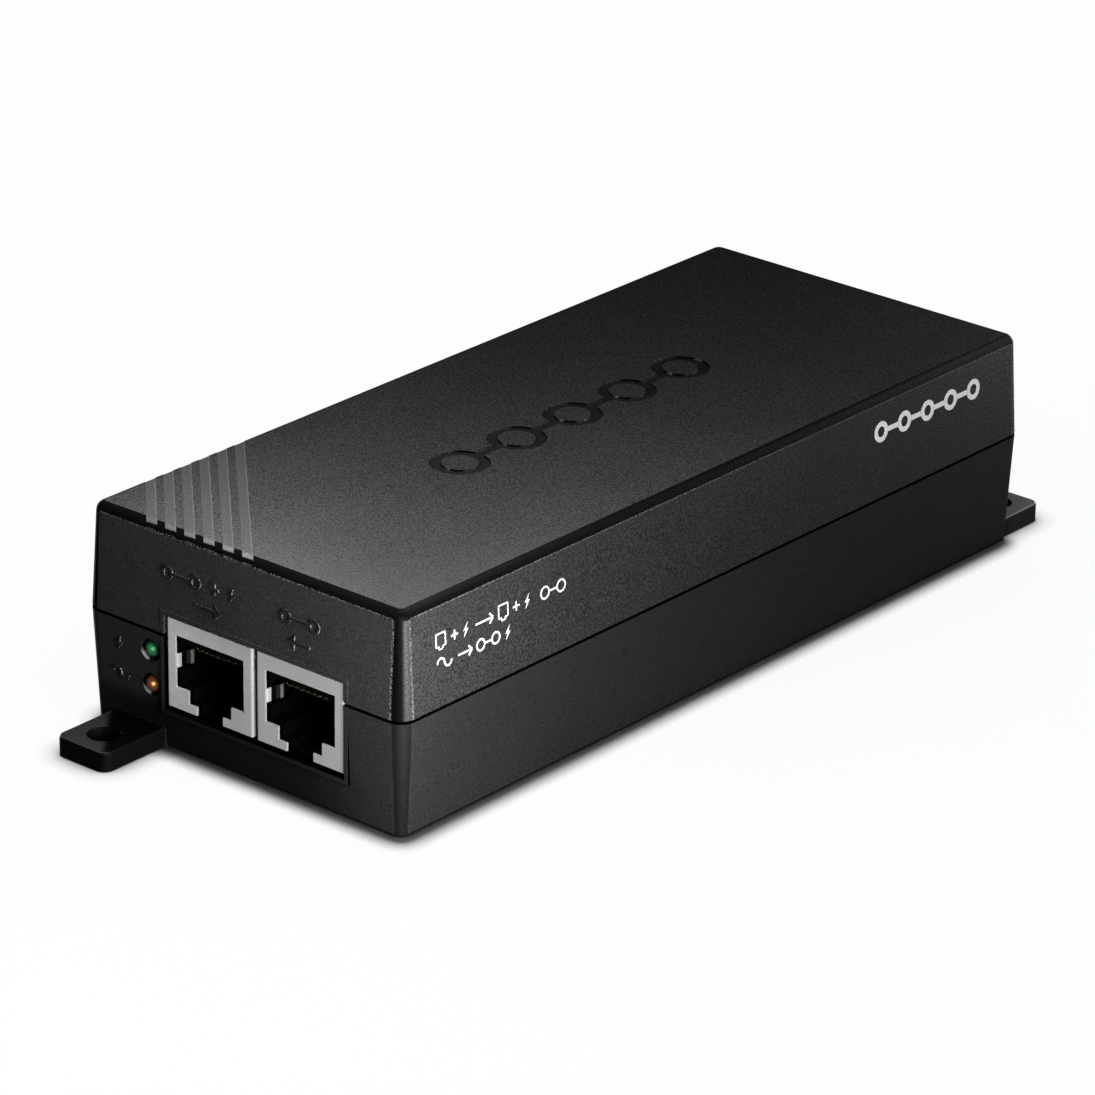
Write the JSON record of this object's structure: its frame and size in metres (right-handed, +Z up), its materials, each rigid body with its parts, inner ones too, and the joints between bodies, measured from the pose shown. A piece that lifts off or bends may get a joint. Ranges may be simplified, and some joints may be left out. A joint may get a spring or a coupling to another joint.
{
  "type": "power over ethernet injector",
  "caption": "Flat black injector box with screw ears: takes mains and network data, and feeds both down a network cable.",
  "frame": {"origin": "middle of the case's flat underside, midway along the seam's length and width", "axes": "+Z up, +Y from the network jacks to the mains inlet, +X to the right when facing the jacks"},
  "size_m": [0.0596, 0.1598, 0.0334],
  "materials": {
    "cover_plastic": "fine spark-eroded texture, black",
    "base_plastic": "fine spark-eroded texture, black",
    "label_film": "blank silver-grey label stock",
    "screw_steel": "zinc plated",
    "nickel_shield": "nickel-plated sheet",
    "jack_plastic": "black moulding",
    "gold_contact": "gold-plated bronze wire",
    "green_lens": "clear-moulded green",
    "amber_lens": "clear-moulded amber",
    "tinned_lead": "tinned copper and solder",
    "holder_plastic": "black moulding",
    "inlet_plastic": "black thermoplastic",
    "plated_brass": "nickel-plated brass",
    "fuse_cap": "moulded cap",
    "varistor_coat": "blue epoxy dip",
    "thermistor_coat": "dark green epoxy dip",
    "film_case": "yellow box",
    "disc_coat": "light blue dip",
    "ferrite": "sintered ferrite",
    "enamelled_wire": "enamelled copper",
    "epoxy_case": "moulded epoxy",
    "can_sleeve": "shrunk sleeve",
    "winding_tape": "polyester tape",
    "sink_aluminium": "bent sheet",
    "coupler_case": "white moulding",
    "module_case": "moulded module",
    "chip_ceramic": "fired ceramic",
    "board_laminate": "green solder mask"
  },
  "bodies": {
    "injector": {"top_cover": "cover_plastic", "bottom_base": "base_plastic", "rating_label": "label_film", "case_screws": "screw_steel", "board_screws": "screw_steel", "device_screws": "screw_steel", "out_jack_shield": "nickel_shield", "in_jack_shield": "nickel_shield", "out_jack_insert": "jack_plastic", "in_jack_insert": "jack_plastic", "out_jack_leads": "gold_contact", "in_jack_leads": "gold_contact", "green_lamp": "green_lens", "amber_lamp": "amber_lens", "lamp_leads": "tinned_lead", "component_leads": "tinned_lead", "chip_pins": "tinned_lead", "lamp_holder": "holder_plastic", "choke_seat": "holder_plastic", "transformer_bobbin": "holder_plastic", "inlet_housing": "inlet_plastic", "inlet_pins": "plated_brass", "mains_fuse": "fuse_cap", "surge_varistor": "varistor_coat", "inrush_thermistor": "thermistor_coat", "x_capacitor": "film_case", "y_capacitors": "disc_coat", "choke_core": "ferrite", "transformer_core": "ferrite", "inductor_core": "ferrite", "choke_windings": "enamelled_wire", "inductor_winding": "enamelled_wire", "bridge_rectifier": "epoxy_case", "power_transistor": "epoxy_case", "output_rectifier": "epoxy_case", "power_controller": "epoxy_case", "bulk_capacitor": "can_sleeve", "output_capacitors": "can_sleeve", "transformer_winding": "winding_tape", "primary_heatsink": "sink_aluminium", "secondary_heatsink": "sink_aluminium", "optocouplers": "coupler_case", "data_transformers": "module_case", "chip_parts": "chip_ceramic", "main_board": "board_laminate"},
    "out_contacts": {"out_jack_springs": "gold_contact"},
    "in_contacts": {"in_jack_springs": "gold_contact"}
  },
  "joints": [
    {"name": "out_contact_flex", "type": "hinge", "parent": "injector", "child": "out_contacts", "pos_m": [-0.0061, -0.0669, 0.0169], "axis": [1, 0, 0], "range_deg": [0, 10], "stiffness_Nm_per_rad": 0.4},
    {"name": "in_contact_flex", "type": "hinge", "parent": "injector", "child": "in_contacts", "pos_m": [0.01085, -0.0669, 0.0169], "axis": [1, 0, 0], "range_deg": [0, 10], "stiffness_Nm_per_rad": 0.4}
  ]
}
